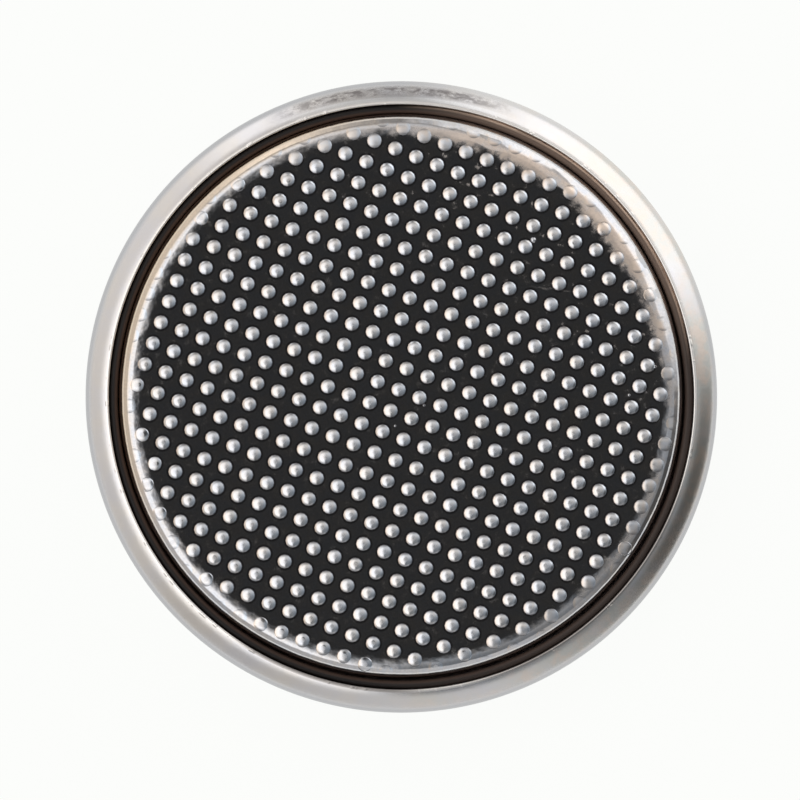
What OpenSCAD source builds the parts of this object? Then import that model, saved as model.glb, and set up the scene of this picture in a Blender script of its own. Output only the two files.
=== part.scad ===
// Lithium coin cell, lying on the flat base of its positive can.
// The origin is the centre of that base, and +Z points up through the negative cap.
// The round pieces are sections in the plane of radius and height, turned about Z.

/* [Cell] */
// Diameter of the can, and so of the whole cell
cell_d = 20; // [16:0.5:25]
// Height from the flat base to the tops of the dots
cell_h = 3.2; // [2.6:0.1:5]

/* [Positive can] */
// Thickness of the can's sheet
can_t = 0.25; // [0.2:0.01:0.3]
// Inner radius of the corner between base and wall
can_corner_in_r = 0.25; // [0.15:0.01:0.35]
// Width of the crimped ring, seen from above
crimp_w = 0.72; // [0.66:0.01:0.9]
// Outer radius of the corner where the wall turns in
crimp_edge_r = 0.51; // [0.45:0.01:0.6]
// Slope, in degrees, at which that corner gives way to the crimp's flatter arc
crimp_slope = 45; // [40:1:50]
// Outer radius of that flatter arc
crimp_r = 1.37; // [1.2:0.01:1.6]
// Depth of the crimp's highest line below the tops of the dots
crimp_drop = 0.4; // [0.3:0.05:0.5]

/* [Polarity mark] */
// Length of each bar of the plus sign stamped in the base
plus_len = 3.6; // [2:0.1:6]
// Width of those bars
plus_w = 0.7; // [0.4:0.05:1.2]
// Depth of the plus sign
plus_depth = 0.04; // [0.02:0.01:0.08]

/* [Negative cap] */
// Thickness of the cap's sheet
cap_t = 0.25; // [0.2:0.01:0.3]
// Outer radius of the shoulder that turns the flat face down into the wall
shoulder_r = 0.45; // [0.35:0.01:0.6]
// Depth of the step in the wall below the flat face
step_drop = 0.9; // [0.8:0.05:1]
// Inner radius of the corner where the step turns down
step_corner_in_r = 0.05; // [0.02:0.01:0.06]
// Radius of the hollow corner where the step leaves the upper wall
step_fillet_r = 0.1; // [0.05:0.01:0.12]

/* [Dots] */
// Diameter of a dot at its foot
dot_d = 0.48; // [0.3:0.01:0.6]
// Height of a dot
dot_h = 0.1; // [0.07:0.01:0.15]
// Distance between neighbouring dots, along both rows of the square pattern
dot_pitch = 0.707; // [0.65:0.001:1.2]
// Turn of the pattern about the cell's axis, in degrees
dot_turn = -21; // [-45:1:45]
// Place along X of the dot nearest to the axis
dot_x = -0.1; // [-0.35:0.01:0.35]
// Place along Y of the dot nearest to the axis
dot_y = 0.24; // [-0.35:0.01:0.35]
// How far the pattern runs out over the shoulder
dot_overrun = 0.13; // [0:0.01:0.16]

/* [Gasket] */
// Width of gasket that shows inside the can's lip
gasket_show = 0.31; // [0.26:0.01:0.4]
// Width of the crevice between that and the cap
crevice_w = 0.11; // [0.08:0.01:0.15]
// Depth of the gasket's ridge below the crimp's highest line
gasket_drop = 0.12; // [0.08:0.01:0.2]
// Thickness between the walls of cap and can
gasket_wall_t = 0.38; // [0.33:0.01:0.4]
// Thickness under the cap's rim
gasket_floor_t = 0.4; // [0.3:0.05:0.45]
// Thickness of the low wall inside the cap
gasket_inner_t = 0.3; // [0.2:0.01:0.35]
// Height of that wall above the gasket's floor
gasket_inner_h = 0.6; // [0.4:0.05:0.65]
// Radius of the lower outer corner
gasket_corner_r = 0.4; // [0.36:0.01:0.5]

/* [Electrodes] */
// Thickness of the lithium disc
lithium_t = 0.6; // [0.3:0.05:0.65]
// Distance from the lithium's edge to where the cap's shoulder starts
lithium_inset = 0.41; // [0:0.01:2]
// Thickness of the separator
separator_t = 0.15; // [0.05:0.01:0.2]
// Space round the separator, inside the cap's upper wall
separator_play = 0.11; // [0.05:0.01:0.5]
// Space round the cathode pellet, inside the gasket
pellet_play = 0.8; // [0.2:0.05:2]
// Thickness of the steel ring's sheet
ring_t = 0.2; // [0.1:0.01:0.25]
// Height of the steel ring round the pellet's foot
ring_h = 1.1; // [0.6:0.05:1.2]
// Width of the ring's flange under the pellet
ring_flange_w = 1.7; // [1:0.1:3]
// Inner radius of the ring's corner
ring_corner_in_r = 0.15; // [0.1:0.01:0.3]

/* [Fits] */
// Clearance between pieces that meet on a round face
fit_gap = 0.01; // [0.005:0.001:0.02]

/* [Hidden] */
$fn = 96;

// Can: the curl is a tight corner and a flatter arc, and ends in a rounded lip
can_r = cell_d / 2;
can_in_r = can_r - can_t;
crimp_top = cell_h - crimp_drop;
mouth_r = can_r - crimp_w;
lip_edge_r = can_t / 2;
lip_r = mouth_r + lip_edge_r;
lip_z = crimp_top - lip_edge_r;
edge_r = can_r - crimp_edge_r;
curl_r = edge_r - (crimp_r - crimp_edge_r) * sin(crimp_slope);
lip_slope = asin((lip_r - curl_r) / (crimp_r - lip_edge_r));
curl_z = lip_z - (crimp_r - lip_edge_r) * cos(lip_slope);
edge_z = curl_z + (crimp_r - crimp_edge_r) * cos(crimp_slope);

// Cap: a flat face, a round shoulder, a wall, a step outwards and a skirt
cap_top = cell_h - dot_h;
cap_in_top = cap_top - cap_t;
cap_r = mouth_r - gasket_show - crevice_w;
flat_r = cap_r - shoulder_r;
shoulder_z = cap_top - shoulder_r;
step_z = cap_top - step_drop;
skirt_r = can_in_r - fit_gap - gasket_wall_t - fit_gap;
rim_z = can_t + gasket_floor_t;

// Dots: each is the top of a ball, on a round root that is sunk in the sheet
dot_ball_r = (pow(dot_d / 2, 2) + pow(dot_h, 2)) / (2 * dot_h);
dot_root_r = dot_d / 2 + dot_h / 4;
dot_root = 0.7 * cap_t;
dot_limit_r = flat_r + dot_overrun;
dot_rows = ceil(dot_limit_r / dot_pitch) + 1;

// Gasket
gasket_in_r = skirt_r - cap_t - fit_gap - gasket_inner_t;
ridge_in_r = mouth_r - gasket_show;
ridge_out_r = mouth_r - fit_gap;
ridge_half = (ridge_out_r - ridge_in_r) / 2;
ridge_z = crimp_top - gasket_drop - ridge_half;

// Electrodes: the pellet takes the height that the other layers leave
lithium_z = cap_in_top - lithium_t;
separator_z = lithium_z - separator_t;
pellet_r = gasket_in_r - pellet_play;

// Height and slope of the cap's outer face at a distance from the axis
function cap_face_z(r) = r <= flat_r ? cap_top : shoulder_z + sqrt(pow(shoulder_r, 2) - pow(r - flat_r, 2));
function cap_face_slope(r) = r <= flat_r ? 0 : asin((r - flat_r) / shoulder_r);

// Rectangle in the section plane, between two radii and two heights
module block(r0, r1, z0, z1) {
    translate([r0, z0]) square([r1 - r0, z1 - z0]);
}

// Disc in the section plane
module disc(r, z, radius) {
    translate([r, z]) circle(radius);
}

// Filled half outline of a cup, with a rounded lower corner
module cup(r, z0, z1, corner) {
    block(0, r - corner, z0, z1);
    block(0, r, z0 + corner, z1);
    disc(r - corner, z0 + corner, corner);
}

// Filled half outline of the dome that the crimp's curl bends round to. A negative grow gives
// the inner face of the sheet, or of a gap inside it.
module curl(grow) {
    reach = 2 * crimp_r;
    intersection() {
        union() {
            block(0, curl_r, curl_z, curl_z + crimp_r + grow);
            intersection() {
                disc(curl_r, curl_z, crimp_r + grow);
                polygon([
                    [curl_r, curl_z],
                    [curl_r, curl_z + reach],
                    [curl_r + reach * sin(crimp_slope), curl_z + reach * cos(crimp_slope)],
                ]);
            }
            disc(edge_r, edge_z, crimp_edge_r + grow);
        }
        block(0, can_r, edge_z, cell_h);
    }
}

// The part of that dome in front of the lip
module mouth() {
    reach = 2 * crimp_r;
    polygon([
        [0, curl_z],
        [curl_r, curl_z],
        [curl_r + reach * sin(lip_slope), curl_z + reach * cos(lip_slope)],
        [0, curl_z + reach],
    ]);
}

module can_section() {
    difference() {
        union() {
            cup(can_r, 0, edge_z, can_corner_in_r + can_t);
            curl(0);
        }
        cup(can_in_r, can_t, edge_z, can_corner_in_r);
        curl(-can_t);
        mouth();
    }
    disc(lip_r, lip_z, lip_edge_r);
}

// Filled half outline of the cap, from its rim up. A positive grow is a gap round the outside,
// and a negative one gives the inner face of the sheet.
module cap_outline(grow) {
    corner = step_corner_in_r + cap_t;
    // flat face, shoulder and upper wall
    block(0, flat_r, rim_z, cap_top + grow);
    disc(flat_r, shoulder_z, shoulder_r + grow);
    block(0, cap_r + grow, rim_z, shoulder_z);
    // hollow corner at the wall's foot
    difference() {
        block(cap_r + grow, cap_r + step_fillet_r, step_z + grow, step_z + step_fillet_r);
        disc(cap_r + step_fillet_r, step_z + step_fillet_r, step_fillet_r - grow);
    }
    // step and skirt
    block(0, skirt_r - corner, rim_z, step_z + grow);
    block(0, skirt_r + grow, rim_z, step_z - corner);
    disc(skirt_r - corner, step_z - corner, corner + grow);
}

module cap_section() {
    difference() {
        cap_outline(0);
        cap_outline(-cap_t);
    }
}

module gasket_section() {
    // between cap and can, up to the edge of the mouth
    difference() {
        intersection() {
            union() {
                cup(can_in_r - fit_gap, can_t, edge_z, gasket_corner_r);
                curl(-can_t - fit_gap);
            }
            union() {
                block(gasket_in_r, can_r, can_t, rim_z);
                block(ridge_in_r + ridge_half, can_r, can_t, cell_h);
            }
        }
        cap_outline(fit_gap);
    }
    // the ridge that shows in the mouth
    difference() {
        union() {
            block(ridge_in_r, ridge_out_r, step_z, ridge_z);
            disc(ridge_in_r + ridge_half, ridge_z, ridge_half);
        }
        cap_outline(fit_gap);
    }
    // the low wall inside the cap
    inner_top = rim_z + gasket_inner_h;
    block(gasket_in_r, gasket_in_r + gasket_inner_t, can_t, inner_top - gasket_inner_t / 2);
    disc(gasket_in_r + gasket_inner_t / 2, inner_top - gasket_inner_t / 2, gasket_inner_t / 2);
}

// The ring's angle section: a wall with a flange turned in at its foot
module ring_section() {
    difference() {
        cup(pellet_r, can_t, can_t + ring_h, ring_corner_in_r + ring_t);
        cup(pellet_r - ring_t, can_t + ring_t, cell_h, ring_corner_in_r);
        block(0, pellet_r - ring_flange_w, 0, cell_h);
    }
}

// The pellet stands on the can's floor, fills the ring and bears on its top edge
module pellet_section() {
    block(0, pellet_r - ring_flange_w - fit_gap, can_t, separator_z);
    cup(pellet_r - ring_t - fit_gap, can_t + ring_t, separator_z, ring_corner_in_r);
    block(0, pellet_r, can_t + ring_h, separator_z);
}

module dot() {
    $fn = 24;
    intersection() {
        translate([0, 0, dot_h - dot_ball_r]) rotate([0, 90, 0]) sphere(dot_ball_r);
        translate([0, 0, -dot_root]) cylinder(r = dot_root_r, h = dot_root + 2 * dot_h);
    }
}

// Square pattern of dots that follows the cap's face down over its shoulder
module dots() {
    for (i = [-dot_rows:dot_rows], j = [-dot_rows:dot_rows]) {
        x = dot_x + dot_pitch * (i * cos(dot_turn) - j * sin(dot_turn));
        y = dot_y + dot_pitch * (i * sin(dot_turn) + j * cos(dot_turn));
        r = norm([x, y]);
        if (r <= dot_limit_r)
            translate([x, y, cap_face_z(r)]) rotate([0, cap_face_slope(r), atan2(y, x)]) dot();
    }
}

module plus_sign() {
    for (turn = [0, 90])
        rotate([0, 0, turn]) cube([plus_len, plus_w, 2 * plus_depth], center = true);
}

module positive_can() {
    color("gainsboro") difference() {
        rotate_extrude() can_section();
        plus_sign();
    }
}

module gasket() {
    color("#2b2522") rotate_extrude() gasket_section();
}

module negative_cap() {
    color("silver") union() {
        rotate_extrude() cap_section();
        dots();
    }
}

module lithium_anode() {
    color("lightsteelblue") translate([0, 0, lithium_z]) cylinder(r = flat_r - lithium_inset, h = lithium_t);
}

module separator() {
    color("ivory") translate([0, 0, separator_z]) cylinder(r = cap_r - cap_t - separator_play, h = separator_t);
}

module cathode_pellet() {
    color("#26282b") rotate_extrude() pellet_section();
}

module cathode_ring() {
    color("darkgray") rotate_extrude() ring_section();
}

positive_can();
gasket();
negative_cap();
lithium_anode();
separator();
cathode_pellet();
cathode_ring();
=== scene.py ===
# %% [markdown]
# # A lithium coin cell in Blender
# The CAD model of the cell comes first and stays as it is: it is the frame that fixes every size.
# Around it we build the pieces that show, with rounder edges and a finish of their own, and then
# a small studio to see them in.
#
# All lengths in Blender are metres here, but a coin cell is easier to think of in millimetres, so
# sizes are written in millimetres and turned into metres where an operator needs them.

# %% Load the frame
import math
import random

import bmesh
import bpy
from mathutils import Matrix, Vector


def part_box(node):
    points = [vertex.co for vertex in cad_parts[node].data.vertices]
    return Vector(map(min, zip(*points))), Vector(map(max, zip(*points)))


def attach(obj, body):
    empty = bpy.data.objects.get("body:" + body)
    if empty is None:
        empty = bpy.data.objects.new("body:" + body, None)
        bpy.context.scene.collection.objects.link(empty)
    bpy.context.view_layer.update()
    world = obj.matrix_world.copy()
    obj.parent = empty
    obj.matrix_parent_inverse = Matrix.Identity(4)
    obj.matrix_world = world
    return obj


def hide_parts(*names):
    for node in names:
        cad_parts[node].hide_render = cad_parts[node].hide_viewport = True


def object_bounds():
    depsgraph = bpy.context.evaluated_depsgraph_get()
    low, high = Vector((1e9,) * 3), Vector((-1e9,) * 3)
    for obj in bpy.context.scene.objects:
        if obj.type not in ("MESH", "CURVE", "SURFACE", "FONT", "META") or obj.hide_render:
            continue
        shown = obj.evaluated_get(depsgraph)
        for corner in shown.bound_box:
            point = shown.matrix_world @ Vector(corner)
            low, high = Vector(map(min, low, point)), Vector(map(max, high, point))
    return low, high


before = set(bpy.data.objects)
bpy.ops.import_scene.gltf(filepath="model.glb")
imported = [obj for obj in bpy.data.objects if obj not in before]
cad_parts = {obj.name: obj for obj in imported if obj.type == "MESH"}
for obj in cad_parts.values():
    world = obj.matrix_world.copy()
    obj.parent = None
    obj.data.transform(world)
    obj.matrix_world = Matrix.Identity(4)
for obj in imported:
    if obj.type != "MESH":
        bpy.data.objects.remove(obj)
cad_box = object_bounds()
print("nodes:", sorted(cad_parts))

# %% Sizes that the frame gives
MM = 0.001


def frame_size(node, corner, axis):
    """A coordinate of a CAD node's box, in millimetres, rounded to a hundredth."""
    return round(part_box(node)[corner][axis] / MM, 2)


can_r = frame_size("positive_can", 1, 0)
crimp_top = frame_size("positive_can", 1, 2)
dot_top = round(cad_box[1].z / MM, 1)
skirt_r = frame_size("negative_cap", 1, 0)
rim_z = frame_size("negative_cap", 0, 2)
cap_inner_z = frame_size("lithium_anode", 1, 2)
gasket_r = frame_size("gasket", 1, 0)
gasket_z = frame_size("gasket", 0, 2)
print("can", can_r, crimp_top, "dots", dot_top, "cap", skirt_r, rim_z, cap_inner_z)
print("gasket", gasket_r, gasket_z)

# %% [markdown]
# ## Drawing a section and turning it
# The can, the cap and the gasket are all round, so each is drawn as half of its cross-section and
# then turned about the vertical axis, the way a potter or a lathe makes a round thing. In Blender
# the section is a chain of points. We begin with a plane, merge it to one point, and extrude that
# point along straight lines. Where the metal bends, the same point is spun about the centre of
# the bend, which leaves a true arc. The last spin goes about the vertical axis and makes the wall.

# %% A pen for sections
pen = {"r": 0.0, "z": 0.0}
print("the pen starts at", pen)


def start_section(name, r, z):
    """Begins a section at radius r and height z, with one selected point in edit mode."""
    bpy.ops.object.select_all(action="DESELECT")
    bpy.ops.mesh.primitive_plane_add(size=MM, location=(0, 0, 0))
    piece = bpy.context.object
    piece.name = piece.data.name = name
    bpy.ops.object.mode_set(mode="EDIT")
    bpy.ops.mesh.select_mode(type="VERT")
    bpy.ops.mesh.select_all(action="SELECT")
    bpy.ops.mesh.merge(type="CENTER")
    bpy.ops.transform.translate(value=(r * MM, 0, z * MM))
    pen.update(r=r, z=z)
    return piece


def line_to(r, z, steps=1):
    """Extrudes the selected point in a straight line to radius r and height z."""
    step = ((r - pen["r"]) * MM / steps, 0, (z - pen["z"]) * MM / steps)
    for _ in range(steps):
        bpy.ops.mesh.extrude_region_move(TRANSFORM_OT_translate={"value": step})
    pen.update(r=r, z=z)


def arc_about(r, z, turn, steps):
    """Spins the selected point about a centre in the section. A positive turn is anticlockwise."""
    bpy.ops.mesh.spin(
        steps=steps, angle=math.radians(turn), center=(r * MM, 0, z * MM), axis=(0, 1, 0)
    )
    c, s = math.cos(math.radians(turn)), math.sin(math.radians(turn))
    dr, dz = pen["r"] - r, pen["z"] - z
    pen.update(r=r + dr * c - dz * s, z=z + dr * s + dz * c)


# %% [markdown]
# The turn leaves double points along the axis and where the last step meets the first. They are
# merged, so that the shell is closed, and only then are the faces made to point outwards.

# %% Turn a section
merge_within = 0.0005
soft_angle = 40


def turn_section(steps, smooth_below=soft_angle):
    """Spins the whole section about the vertical axis and closes the mesh."""
    piece = bpy.context.object
    bpy.ops.mesh.select_all(action="SELECT")
    bpy.ops.mesh.spin(steps=steps, angle=math.tau, center=(0, 0, 0), axis=(0, 0, 1))
    bpy.ops.mesh.select_all(action="SELECT")
    bpy.ops.mesh.remove_doubles(threshold=merge_within * MM)
    bpy.ops.mesh.normals_make_consistent(inside=False)
    bpy.ops.object.mode_set(mode="OBJECT")
    bpy.ops.object.shade_smooth_by_angle(angle=math.radians(smooth_below))
    print(piece.name, "has", len(piece.data.polygons), "faces")
    return piece


# %% [markdown]
# ## The can
# The can is one sheet of nickel-plated steel, drawn to a cup and then curled in over the gasket.
# Its section goes once round the sheet: along the base, up the wall, round the tight corner, over
# the flatter curl, round the rolled lip, and back down inside. Each arc leaves the one before it
# in the same direction, so the light runs over the joins without a break.

# %% Sizes of the can's sheet
can_t = 0.25
base_corner_r, base_hold = 0.5, 0.1
crimp_w = 0.75
crimp_edge_r, crimp_slope = 0.51, 45
crimp_r = 1.8
lip_r, under_lip_r = 0.045, 0.05
mouth_r = can_r - crimp_w
lip_centre_r = mouth_r + lip_r
lip_centre_z = crimp_top - lip_r
edge_centre_r = can_r - crimp_edge_r
curl_centre_r = edge_centre_r - (crimp_r - crimp_edge_r) * math.sin(math.radians(crimp_slope))
lip_slope = math.degrees(math.asin((lip_centre_r - curl_centre_r) / (crimp_r - lip_r)))
curl_centre_z = lip_centre_z - (crimp_r - lip_r) * math.cos(math.radians(lip_slope))
edge_centre_z = curl_centre_z + (crimp_r - crimp_edge_r) * math.cos(math.radians(crimp_slope))
under_arm = crimp_r - can_t + under_lip_r
under_lip_slope = math.degrees(math.asin((mouth_r + under_lip_r - curl_centre_r) / under_arm))
under_lip_z = curl_centre_z + under_arm * math.cos(math.radians(under_lip_slope))
print("the wall ends at", round(edge_centre_z, 3), "mm; the lip slopes", round(lip_slope, 1))

# %% Can: section and spin
can = start_section("can", 0, 0)
line_to(can_r - base_corner_r - base_hold, 0, steps=4)
line_to(can_r - base_corner_r, 0)
arc_about(can_r - base_corner_r, base_corner_r, 90, 12)
line_to(can_r, edge_centre_z, steps=3)
arc_about(edge_centre_r, edge_centre_z, 90 - crimp_slope, 12)
arc_about(curl_centre_r, curl_centre_z, crimp_slope - lip_slope, 10)
arc_about(lip_centre_r, lip_centre_z, 90 + lip_slope, 12)
line_to(mouth_r, under_lip_z)
arc_about(mouth_r + under_lip_r, under_lip_z, 90 - under_lip_slope, 5)
arc_about(curl_centre_r, curl_centre_z, under_lip_slope - crimp_slope, 6)
arc_about(edge_centre_r, edge_centre_z, crimp_slope - 90, 6)
line_to(can_r - can_t, base_corner_r, steps=2)
arc_about(can_r - base_corner_r, base_corner_r, -90, 6)
line_to(0, can_t)
turn_section(steps=256)

# %% [markdown]
# A small plus sign is stamped in the base, which is the cell's positive side. The stamp is two
# bars, and a Boolean modifier presses them into the base. The new edges don't know yet that they
# are sharp, so the can is shaded by angle once more, or the light would smear over the stamp.

# %% Can: the plus sign in the base
plus_len, plus_w, plus_depth = 3.6, 0.7, 0.04


def add_bar(name, length, width, depth):
    """A bar across the axis that stands half in the base."""
    bpy.ops.object.select_all(action="DESELECT")
    bpy.ops.mesh.primitive_cube_add(size=MM, location=(0, 0, 0))
    bar = bpy.context.object
    bar.name = bar.data.name = name
    bpy.ops.object.mode_set(mode="EDIT")
    bpy.ops.mesh.select_all(action="SELECT")
    bpy.ops.transform.resize(value=(length, width, 2 * depth))
    bpy.ops.object.mode_set(mode="OBJECT")
    return bar


def cut_away(piece, tool):
    """Takes the tool's shape out of the piece and throws the tool away."""
    bpy.ops.object.select_all(action="DESELECT")
    piece.select_set(True)
    bpy.context.view_layer.objects.active = piece
    cut = piece.modifiers.new("stamp", "BOOLEAN")
    cut.operation, cut.solver, cut.object = "DIFFERENCE", "EXACT", tool
    bpy.ops.object.modifier_apply(modifier=cut.name)
    bpy.data.objects.remove(tool)


cut_away(can, add_bar("stamp_long", plus_len, plus_w, plus_depth))
cut_away(can, add_bar("stamp_short", plus_w, plus_len, plus_depth))
bpy.ops.object.shade_smooth_by_angle(angle=math.radians(soft_angle))
print("can with its plus sign:", len(can.data.polygons), "faces")

# %% [markdown]
# ## The gasket
# The gasket is a ring of dark nylon between cap and can. Only its round top shows, as a dark
# ridge in the can's mouth, but its whole section is drawn, down to the low wall inside the cap.
# Where it lies against the can, it follows the same two arcs as the crimp, a hair further in.

# %% Sizes of the gasket
gap = 0.01
cap_t = 0.25
dot_h = 0.1
gasket_show = 0.28
gasket_wall_t, gasket_wall_h = 0.3, 0.45
gasket_shelf_r, gasket_foot_r = 0.3, 0.4
ridge_drop, ridge_turn, ridge_foot = 0.12, -140, 0.02
gasket_in_r = skirt_r - cap_t - gap - gasket_wall_t
ridge_in_r, ridge_out_r = mouth_r - gasket_show, mouth_r - gap
ridge_half = (ridge_out_r - ridge_in_r) / 2
ridge_z = crimp_top - ridge_drop - ridge_half
face_z = dot_top - dot_h
step_z = face_z - 0.9
under_curl_r = crimp_r - can_t - gap
print("the ridge is", round(2 * ridge_half, 3), "mm wide; the cap's face is at", round(face_z, 3))

# %% Gasket: section and spin
gasket = start_section("gasket_ring", gasket_in_r, gasket_z)
line_to(gasket_in_r, rim_z + gasket_wall_h, steps=2)
arc_about(gasket_in_r + gasket_wall_t / 2, rim_z + gasket_wall_h, -180, 8)
line_to(gasket_in_r + gasket_wall_t, rim_z)
line_to(skirt_r + gap, rim_z)
line_to(skirt_r + gap, step_z - gasket_shelf_r)
arc_about(skirt_r - gasket_shelf_r, step_z - gasket_shelf_r, 90, 6)
line_to(ridge_in_r, step_z + gap)
line_to(ridge_in_r, ridge_z, steps=2)
arc_about(ridge_in_r + ridge_half, ridge_z, ridge_turn, 14)
curl_r = pen["r"] + ridge_foot
curl_start = math.degrees(math.acos((curl_r - curl_centre_r) / under_curl_r))
line_to(curl_r, curl_centre_z + under_curl_r * math.sin(math.radians(curl_start)))
arc_about(curl_centre_r, curl_centre_z, crimp_slope - curl_start, 8)
arc_about(edge_centre_r, edge_centre_z, crimp_slope - 90, 6)
line_to(gasket_r, gasket_z + gasket_foot_r, steps=2)
arc_about(gasket_r - gasket_foot_r, gasket_z + gasket_foot_r, -90, 6)
line_to(gasket_in_r, gasket_z)
turn_section(steps=192)

# %% [markdown]
# ## The cap
# The cap is a second sheet, pressed to a shallow lid with a step in its wall that the gasket
# holds on to. Its face is flat, and a soft shoulder turns it down into the wall. Past the flat
# the shoulder falls only by a few degrees, then it bends, and at the edge it turns sharply. One
# arc would be simpler, but steel mirrors the room at twice its slope, so three arcs with the right
# slopes between them are what puts the bright and dark bands in their places.
#
# Shiny metal shows every fault in its shading, and the shading between two points is blended. So
# the flat face gets a narrow extra ring just inside its edge, which keeps the blend off the flat.

# %% Sizes of the cap's shoulder
crevice_w = 0.05
cap_r = mouth_r - gasket_show - crevice_w
flat_r, ease_r, bend_r = 8.08, 8.485, 8.65
ease, bend = 4.4, 29
corner_r, step_r, flat_hold = 0.05, 0.1, 0.04


def arc_between(r_start, r_stop, slope_start, slope_stop):
    """Radius of the arc that takes the slope from one value to another between two radii."""
    rise = math.sin(math.radians(slope_stop)) - math.sin(math.radians(slope_start))
    return (r_stop - r_start) / rise


ease_arc_r = arc_between(flat_r, ease_r, 0, ease)
bend_arc_r = arc_between(ease_r, bend_r, ease, bend)
edge_r = arc_between(bend_r, cap_r, bend, 90)
bend_z = face_z - ease_arc_r + (ease_arc_r - bend_arc_r) * math.cos(math.radians(ease))
edge_z = bend_z + (bend_arc_r - edge_r) * math.cos(math.radians(bend))
print("the shoulder's arcs:", [round(r, 2) for r in (ease_arc_r, bend_arc_r, edge_r)])

# %% Cap: section and spin
cap = start_section("cap", 0, cap_inner_z)
line_to(cap_r - edge_r, cap_inner_z)
arc_about(cap_r - edge_r, cap_inner_z - (edge_r - cap_t), -90, 8)
line_to(cap_r - cap_t, step_z + step_r)
arc_about(cap_r + step_r, step_z + step_r, 90, 6)
line_to(skirt_r - cap_t - corner_r, step_z - cap_t)
arc_about(skirt_r - cap_t - corner_r, step_z - cap_t - corner_r, -90, 4)
line_to(skirt_r - cap_t, rim_z)
line_to(skirt_r, rim_z)
line_to(skirt_r, step_z - cap_t - corner_r)
arc_about(skirt_r - cap_t - corner_r, step_z - cap_t - corner_r, 90, 8)
line_to(cap_r + step_r, step_z)
arc_about(cap_r + step_r, step_z + step_r, -90, 6)
line_to(cap_r, edge_z)
arc_about(cap_r - edge_r, edge_z, 90 - bend, 14)
arc_about(bend_r - bend_arc_r * math.sin(math.radians(bend)), bend_z, bend - ease, 8)
arc_about(flat_r, face_z - ease_arc_r, ease, 5)
line_to(flat_r - flat_hold, face_z)
line_to(0, face_z, steps=2)
turn_section(steps=256)


# %% [markdown]
# ## The dots
# Rows of small round dots are coined in the face, so that a spring contact bites through any
# film on the plating. One dot is drawn and spun like the larger pieces, with only a few dozen
# faces because there are hundreds of them. Two Array modifiers lay it out on the square pattern,
# and the ones that would miss the face are deleted.

# %% Dot: one dome
dot_r, dot_foot_h, dot_sides = 0.228, 0.038, 12
foot_lean, dome_soft_angle = 0.4, 35
root_w, root_depth = 0.01, 0.045
dot_pitch, dot_turn = 0.707, math.radians(-21)
dot_x, dot_y = -0.086, 0.23
dot_limit_r = 8.545


def draw_dome(name, r, h, foot_h, sides):
    """A cap of a ball on a short steep foot, on the axis, whose foot goes on into the face."""
    cap_h, cap_foot_r = h - foot_h, r - foot_lean * foot_h
    ball_r = (cap_foot_r**2 + cap_h**2) / (2 * cap_h)
    foot_turn = math.degrees(math.asin(cap_foot_r / ball_r))
    start_section(name, 0, face_z + h)
    arc_about(0, face_z + h - ball_r, -foot_turn, 5)
    line_to(r, face_z)
    line_to(r + root_w, face_z - root_depth)
    return turn_section(sides, smooth_below=dome_soft_angle)


dots = draw_dome("dots", dot_r, dot_h, dot_foot_h, dot_sides)


# %% Dots: the square pattern
def move_points(step):
    """Moves all the points of the chosen piece, while its own origin stays on the cell's axis."""
    bpy.ops.object.mode_set(mode="EDIT")
    bpy.ops.mesh.select_all(action="SELECT")
    bpy.ops.transform.translate(value=step)
    bpy.ops.object.mode_set(mode="OBJECT")


rows = math.ceil(dot_limit_r / dot_pitch) + 1
along = (math.cos(dot_turn) * dot_pitch * MM, math.sin(dot_turn) * dot_pitch * MM, 0)
across = (-along[1], along[0], 0)
start = [dot_x * MM - rows * (along[0] + across[0]), dot_y * MM - rows * (along[1] + across[1]), 0]
move_points(start)
for name, step in (("along", along), ("across", across)):
    line = dots.modifiers.new(name, "ARRAY")
    line.count = 2 * rows + 1
    line.use_relative_offset, line.use_constant_offset = False, True
    line.constant_offset_displace = step
    bpy.ops.object.modifier_apply(modifier=line.name)
print("dots in the full square:", (2 * rows + 1) ** 2)


# %% [markdown]
# The full square is wider than the face. To know which dots to delete, and later how to shape each
# one, the script has to find the dot that a point belongs to. It turns the point into the
# pattern's own rows and columns and rounds to the nearest whole numbers.

# %% Dots: which one a point belongs to
def nearest_dot(x, y):
    """Row, column and centre of the dot whose square of the pattern holds the point."""
    c, s = math.cos(dot_turn), math.sin(dot_turn)
    u, v = x - dot_x, y - dot_y
    i = round((u * c + v * s) / dot_pitch)
    j = round((v * c - u * s) / dot_pitch)
    return i, j, dot_x + dot_pitch * (i * c - j * s), dot_y + dot_pitch * (i * s + j * c)


bpy.ops.object.mode_set(mode="EDIT")
bpy.ops.mesh.select_all(action="DESELECT")
mesh = bmesh.from_edit_mesh(dots.data)
for point in mesh.verts:
    _, _, x, y = nearest_dot(point.co.x / MM, point.co.y / MM)
    point.select = math.hypot(x, y) > dot_limit_r
mesh.select_flush_mode()
bmesh.update_edit_mesh(dots.data)
bpy.ops.mesh.delete(type="VERT")
print("points left in the dots:", len(bmesh.from_edit_mesh(dots.data).verts))

# %% [markdown]
# A dot near the edge stands on the shoulder, not on the flat, so its points are lowered by as much
# as the face has fallen there. The face's height comes from the same arcs as the section.

# %% Dots: the height of the face under them
def face_height(r):
    """Height of the cap's outer face at radius r, in millimetres."""
    if r <= flat_r:
        return face_z
    if r <= ease_r:
        return face_z - ease_arc_r + math.sqrt(ease_arc_r**2 - (r - flat_r) ** 2)
    if r <= bend_r:
        from_centre = r - bend_r + bend_arc_r * math.sin(math.radians(bend))
        return bend_z + math.sqrt(bend_arc_r**2 - from_centre**2)
    return edge_z + math.sqrt(max(edge_r**2 - (r - cap_r + edge_r) ** 2, 0.0))


print("the face falls", round(face_z - face_height(dot_limit_r), 3), "mm to the outermost dots")

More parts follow.
